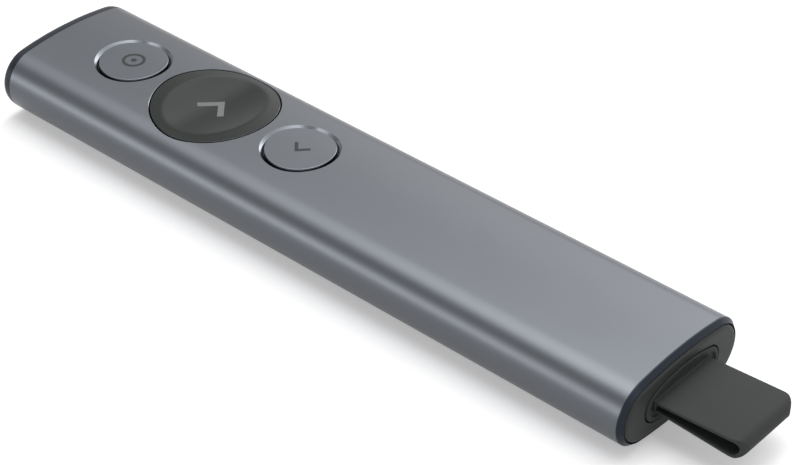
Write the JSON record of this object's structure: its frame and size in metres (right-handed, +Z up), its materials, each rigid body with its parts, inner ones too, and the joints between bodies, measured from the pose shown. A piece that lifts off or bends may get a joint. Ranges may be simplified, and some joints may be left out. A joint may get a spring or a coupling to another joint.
{
  "type": "presentation_clicker",
  "caption": "Slim oval handheld presentation clicker with a dished round next button between two small round ones, and a folded rubber pull tab on the USB receiver stowed in its tail.",
  "frame": {"origin": "Middle of the outline seen from above, on the surface that the clicker lies on", "axes": "+Y runs along the body to the head end with the pointer button, the receiver's tab points to -Y, +X is across the body, +Z is up through the buttons"},
  "size_m": [0.028, 0.144, 0.0123],
  "materials": {
    "anodised": "satin anodised slate grey",
    "cap_plastic": "fine matte",
    "button_plastic": "soft matte",
    "tab_rubber": "soft touch rubber",
    "frame_plastic": "moulded, as moulded",
    "board": "solder mask",
    "steel": "plain stamped",
    "chip": "moulded black",
    "foil": "foil pouch",
    "lead": "insulated wire",
    "gold": "plated"
  },
  "bodies": {
    "body": {"sleeve": "anodised", "tail_cap": "cap_plastic", "head_cap": "cap_plastic", "dock": "frame_plastic", "dock_spring": "steel", "lower_frame": "frame_plastic", "button_frame": "frame_plastic", "circuit_board": "board", "board_screws": "steel", "pointer_switch": "chip", "next_switch": "chip", "back_switch": "chip", "radio_shield": "steel", "motion_chip": "chip", "small_chips": "chip", "antenna": "chip", "battery": "foil", "battery_tape": "chip", "battery_leads": "lead", "vibration_motor": "steel", "charge_port_shell": "steel", "charge_port_tongue": "chip"},
    "pointer_button": {"pointer_cap": "anodised", "pointer_holder": "frame_plastic", "pointer_plunger": "frame_plastic"},
    "next_button": {"next_cap": "button_plastic", "next_holder": "frame_plastic", "next_plunger": "frame_plastic"},
    "back_button": {"back_cap": "anodised", "back_holder": "frame_plastic", "back_plunger": "frame_plastic"},
    "receiver": {"receiver_housing": "cap_plastic", "pull_tab": "tab_rubber", "plug_shell": "steel", "plug_tongue": "chip", "plug_contacts": "gold", "receiver_board": "board", "receiver_chip": "chip"}
  },
  "joints": [
    {"name": "pointer_press", "type": "slide", "parent": "body", "child": "pointer_button", "axis": [0, 0, -1], "range_m": [0, 0.0003], "stiffness_N_per_m": 1200},
    {"name": "next_press", "type": "slide", "parent": "body", "child": "next_button", "axis": [0, 0, -1], "range_m": [0, 0.0003], "stiffness_N_per_m": 1200},
    {"name": "back_press", "type": "slide", "parent": "body", "child": "back_button", "axis": [0, 0, -1], "range_m": [0, 0.0003], "stiffness_N_per_m": 1200},
    {"name": "receiver_pull", "type": "slide", "parent": "body", "child": "receiver", "axis": [0, -1, 0], "range_m": [0, 0.027]}
  ]
}
